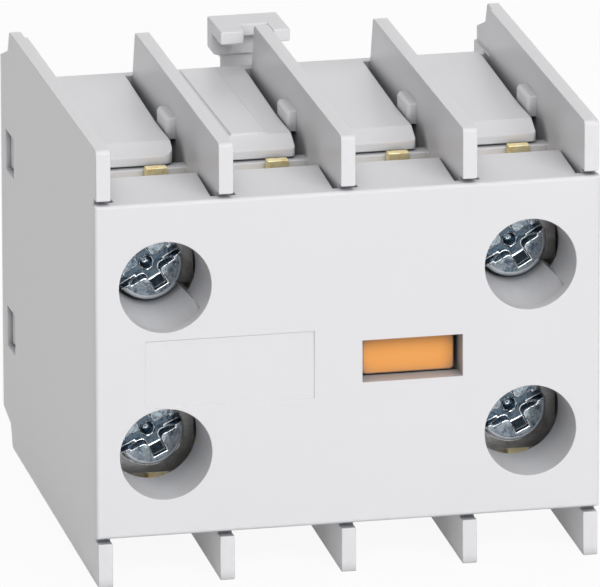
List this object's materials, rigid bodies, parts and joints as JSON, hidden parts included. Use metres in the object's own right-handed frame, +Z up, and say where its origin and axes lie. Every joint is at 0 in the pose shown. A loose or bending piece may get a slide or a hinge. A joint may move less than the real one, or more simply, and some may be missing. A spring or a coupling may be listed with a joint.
{
  "type": "auxiliary contact block",
  "caption": "Clip-on auxiliary contact block: ribbed light grey housing, screw wells in the front, an orange indicator flag and a T-shaped release latch.",
  "frame": {"origin": "middle of the bottom of the bounding box, under the lowest rib edges", "axes": "+X right seen from the front, +Y from the front face to the rear mounting side, +Z up"},
  "size_m": [0.045, 0.0446, 0.0401],
  "materials": {
    "body_plastic": "fine matt light grey moulding",
    "cover_plastic": "fine matt light grey moulding",
    "base_plastic": "fine matt light grey moulding",
    "latch_plastic": "fine matt light grey moulding",
    "carrier_plastic": "matt dark moulding",
    "flag_orange": "satin orange moulding",
    "strip_brass": "stamped brass",
    "bridge_brass": "stamped brass",
    "contact_silver": "silver alloy",
    "washer_zinc": "zinc plated",
    "screw_zinc": "blue zinc plated",
    "spring_steel": "drawn wire"
  },
  "bodies": {
    "block": {"housing": "body_plastic", "front_cover": "cover_plastic", "rear_base": "base_plastic", "terminal_strip_upper_left": "strip_brass", "terminal_strip_upper_right": "strip_brass", "terminal_strip_lower_left": "strip_brass", "terminal_strip_lower_right": "strip_brass", "fixed_tips": "contact_silver", "return_spring": "spring_steel", "latch_spring": "spring_steel"},
    "carrier": {"contact_carrier": "carrier_plastic", "indicator_flag": "flag_orange", "contact_spring_left": "spring_steel", "contact_spring_right": "spring_steel"},
    "bridge_left": {"contact_bridge_left": "bridge_brass", "moving_tips_left": "contact_silver"},
    "bridge_right": {"contact_bridge_right": "bridge_brass", "moving_tips_right": "contact_silver"},
    "latch": {"release_latch": "latch_plastic"},
    "clamp_upper_left": {"clamp_washer_upper_left": "washer_zinc"},
    "screw_upper_left": {"terminal_screw_upper_left": "screw_zinc"},
    "clamp_upper_right": {"clamp_washer_upper_right": "washer_zinc"},
    "screw_upper_right": {"terminal_screw_upper_right": "screw_zinc"},
    "clamp_lower_left": {"clamp_washer_lower_left": "washer_zinc"},
    "screw_lower_left": {"terminal_screw_lower_left": "screw_zinc"},
    "clamp_lower_right": {"clamp_washer_lower_right": "washer_zinc"},
    "screw_lower_right": {"terminal_screw_lower_right": "screw_zinc"}
  },
  "joints": [
    {"name": "carrier_slide", "type": "slide", "parent": "block", "child": "carrier", "axis": [0, 1, 0], "range_m": [0, 0.00195], "stiffness_N_per_m": 120, "springref_m": -0.004, "deforming": ["return_spring"]},
    {"name": "bridge_left_slide", "type": "slide", "parent": "carrier", "child": "bridge_left", "axis": [0, -1, 0], "range_m": [0, 0.0008], "stiffness_N_per_m": 250, "springref_m": -0.002, "deforming": ["contact_spring_left"]},
    {"name": "bridge_right_slide", "type": "slide", "parent": "carrier", "child": "bridge_right", "axis": [0, -1, 0], "range_m": [0, 0.0008], "stiffness_N_per_m": 250, "springref_m": -0.002, "deforming": ["contact_spring_right"]},
    {"name": "latch_slide", "type": "slide", "parent": "block", "child": "latch", "axis": [0, 0, -1], "range_m": [0, 0.002], "stiffness_N_per_m": 400, "springref_m": -0.002, "deforming": ["latch_spring"]},
    {"name": "clamp_slide_upper_left", "type": "slide", "parent": "block", "child": "clamp_upper_left", "axis": [0, 1, 0], "range_m": [0, 0.00236]},
    {"name": "screw_turn_upper_left", "type": "hinge", "parent": "clamp_upper_left", "child": "screw_upper_left", "pos_m": [-0.01628, -0.0132, 0.02694], "axis": [0, 1, 0], "range_deg": [0, 1420]},
    {"name": "clamp_slide_upper_right", "type": "slide", "parent": "block", "child": "clamp_upper_right", "axis": [0, 1, 0], "range_m": [0, 0.00236]},
    {"name": "screw_turn_upper_right", "type": "hinge", "parent": "clamp_upper_right", "child": "screw_upper_right", "pos_m": [0.01628, -0.0132, 0.02694], "axis": [0, 1, 0], "range_deg": [0, 1420]},
    {"name": "clamp_slide_lower_left", "type": "slide", "parent": "block", "child": "clamp_lower_left", "axis": [0, 1, 0], "range_m": [0, 0.00236]},
    {"name": "screw_turn_lower_left", "type": "hinge", "parent": "clamp_lower_left", "child": "screw_lower_left", "pos_m": [-0.01628, -0.0132, 0.0118], "axis": [0, 1, 0], "range_deg": [0, 1420]},
    {"name": "clamp_slide_lower_right", "type": "slide", "parent": "block", "child": "clamp_lower_right", "axis": [0, 1, 0], "range_m": [0, 0.00236]},
    {"name": "screw_turn_lower_right", "type": "hinge", "parent": "clamp_lower_right", "child": "screw_lower_right", "pos_m": [0.01628, -0.0132, 0.0118], "axis": [0, 1, 0], "range_deg": [0, 1420]}
  ],
  "couplings": [
    {"joint": "screw_turn_upper_left", "follows": "clamp_slide_upper_left", "rad_per_m": 10472},
    {"joint": "screw_turn_upper_right", "follows": "clamp_slide_upper_right", "rad_per_m": 10472},
    {"joint": "screw_turn_lower_left", "follows": "clamp_slide_lower_left", "rad_per_m": 10472},
    {"joint": "screw_turn_lower_right", "follows": "clamp_slide_lower_right", "rad_per_m": 10472}
  ]
}
